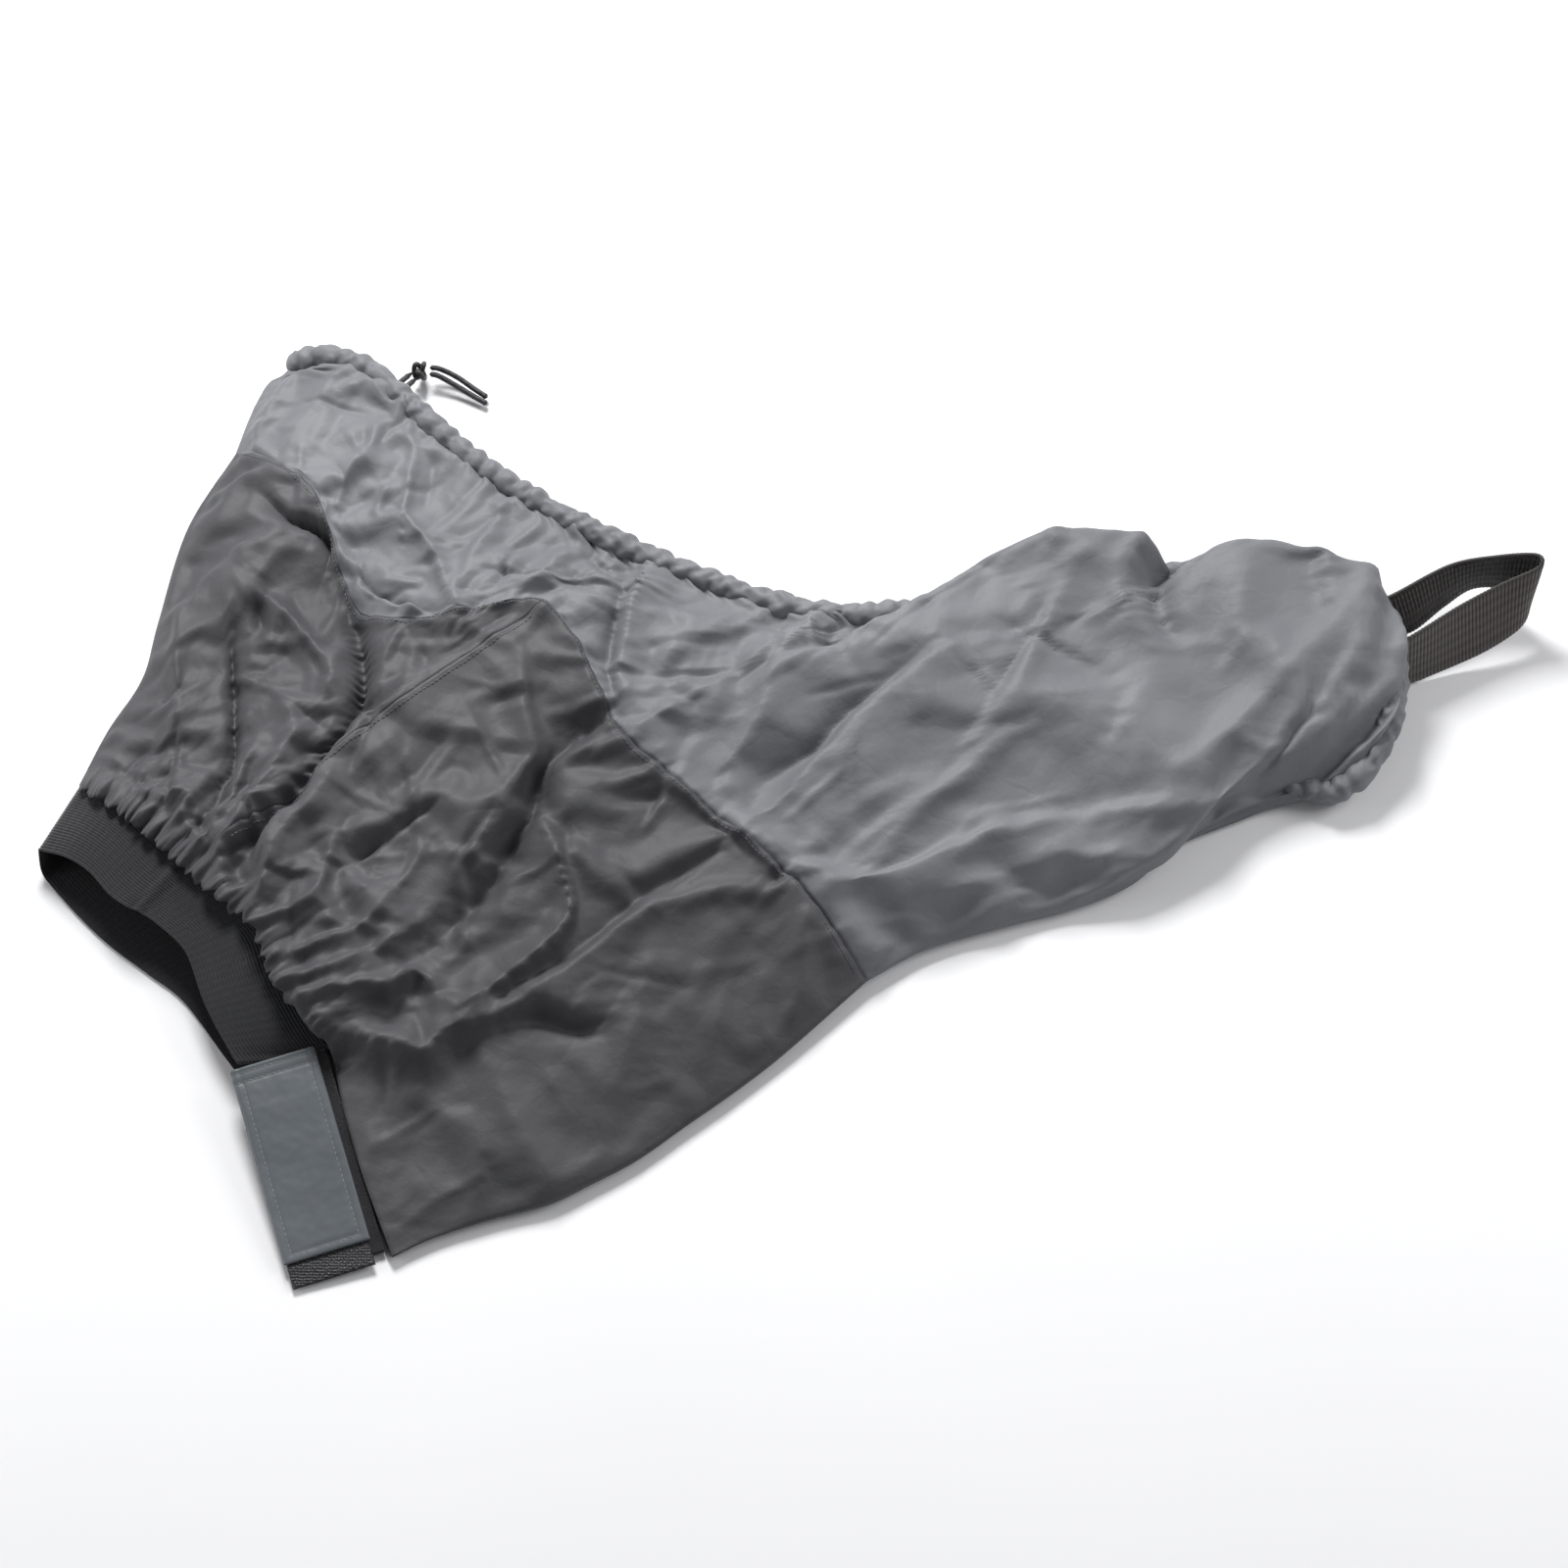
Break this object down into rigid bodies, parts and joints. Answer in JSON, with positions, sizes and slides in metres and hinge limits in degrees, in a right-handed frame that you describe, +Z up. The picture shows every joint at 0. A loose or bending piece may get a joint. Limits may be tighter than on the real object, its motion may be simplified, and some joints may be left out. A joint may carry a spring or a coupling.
{
  "type": "kayak spray skirt",
  "caption": "Nylon kayak spray skirt laid down collapsed: tunnel with elastic waist and hook tab, deck pouch with bungee rim, drawcord and webbing grab loop.",
  "frame": {"origin": "under the middle of the skirt's box, on the surface it lies on; the free cord tails don't count", "axes": "+X from the waist to the bow with its grab loop, +Y from the tab's corner to the stern, +Z up from the floor"},
  "size_m": [0.8684, 0.6268, 0.0553],
  "materials": {
    "coated_nylon": "coated nylon taffeta, light grey, soft sheen",
    "tunnel_nylon": "uncoated nylon taffeta, dark grey, soft sheen",
    "tab_nylon": "smooth nylon, blue grey",
    "knitted_elastic": "ribbed knitted elastic, black",
    "shock_cord": "braided polyester over rubber, black",
    "woven_webbing": "ribbed polypropylene webbing, brown black",
    "hook_tape": "nylon hook tape, black",
    "loop_tape": "brushed loop tape, black",
    "bonded_thread": "bonded nylon thread, dark grey"
  },
  "bodies": {
    "skirt": {"deck_panel": "coated_nylon", "rim_hem_casing": "coated_nylon", "rim_bungee": "shock_cord", "grab_loop_bartack": "bonded_thread"},
    "tunnel": {"tunnel_front_panel": "tunnel_nylon", "tunnel_rear_panel": "tunnel_nylon", "waist_elastic": "knitted_elastic", "loop_strip": "loop_tape"},
    "waist_tab": {"waist_tab_cover": "tab_nylon", "hook_strip": "hook_tape"},
    "pull_loop": {"grab_loop": "woven_webbing"},
    "drawcord": {"bungee_knot": "shock_cord", "bungee_tail_a": "shock_cord", "bungee_tail_b": "shock_cord"}
  },
  "joints": [
    {"name": "tunnel_lift", "type": "hinge", "parent": "skirt", "child": "tunnel", "pos_m": [-0.15142, 0.05207, 0.04943], "axis": [-0.7213, 0.6927, 0], "range_deg": [0, 80]},
    {"name": "tab_peel", "type": "hinge", "parent": "tunnel", "child": "waist_tab", "pos_m": [-0.29192, -0.18251, 0.02068], "axis": [-0.9509, -0.3078, -0.0331], "range_deg": [0, 120]},
    {"name": "grab_loop_swing", "type": "hinge", "parent": "skirt", "child": "pull_loop", "pos_m": [0.36528, 0.08857, 0.00023], "axis": [0, 0, 1], "range_deg": [-65, 35]},
    {"name": "drawcord_pull", "type": "slide", "parent": "skirt", "child": "drawcord", "axis": [0.6971, 0.717, 0], "range_m": [0, 0.04], "stiffness_N_per_m": 50}
  ]
}
